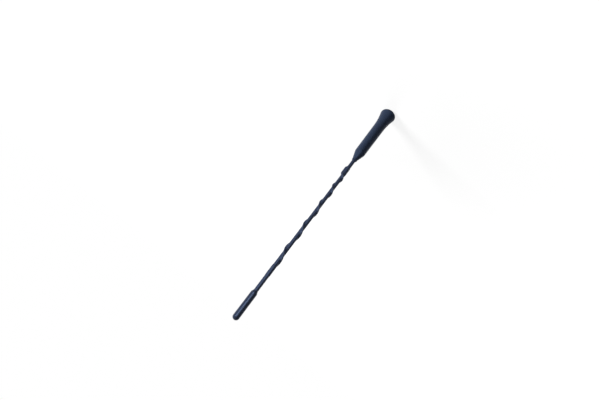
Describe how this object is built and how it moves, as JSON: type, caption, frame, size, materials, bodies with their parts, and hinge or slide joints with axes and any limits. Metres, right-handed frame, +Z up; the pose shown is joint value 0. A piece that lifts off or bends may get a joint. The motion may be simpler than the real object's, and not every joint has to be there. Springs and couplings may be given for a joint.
{
  "type": "car aerial mast",
  "caption": "Screw-on whip aerial for a car roof, with a flared foot, a thin mast carrying a raised spiral, and a tip cap.",
  "frame": {"origin": "centre of the foot's seat face, on the axis of the mast and of the threaded hole", "axes": "+Z up the mast from the foot to the tip; +X is the side where the wound cord starts, at the spiral's lower end"},
  "size_m": [0.0148, 0.0148, 0.235],
  "materials": {
    "boot_rubber": "satin",
    "sleeve_plastic": "satin",
    "cap_plastic": "semi-gloss",
    "ferrule_metal": "nickel plated",
    "rod_steel": "drawn",
    "cord_fibre": "matte",
    "binding_tape": "matte"
  },
  "bodies": {
    "root": {"boot": "boot_rubber", "ferrule": "ferrule_metal", "rod": "rod_steel", "spiral_cord": "cord_fibre", "lower_binding": "binding_tape", "upper_binding": "binding_tape", "sleeve": "sleeve_plastic", "tip_cap": "cap_plastic"}
  },
  "joints": []
}
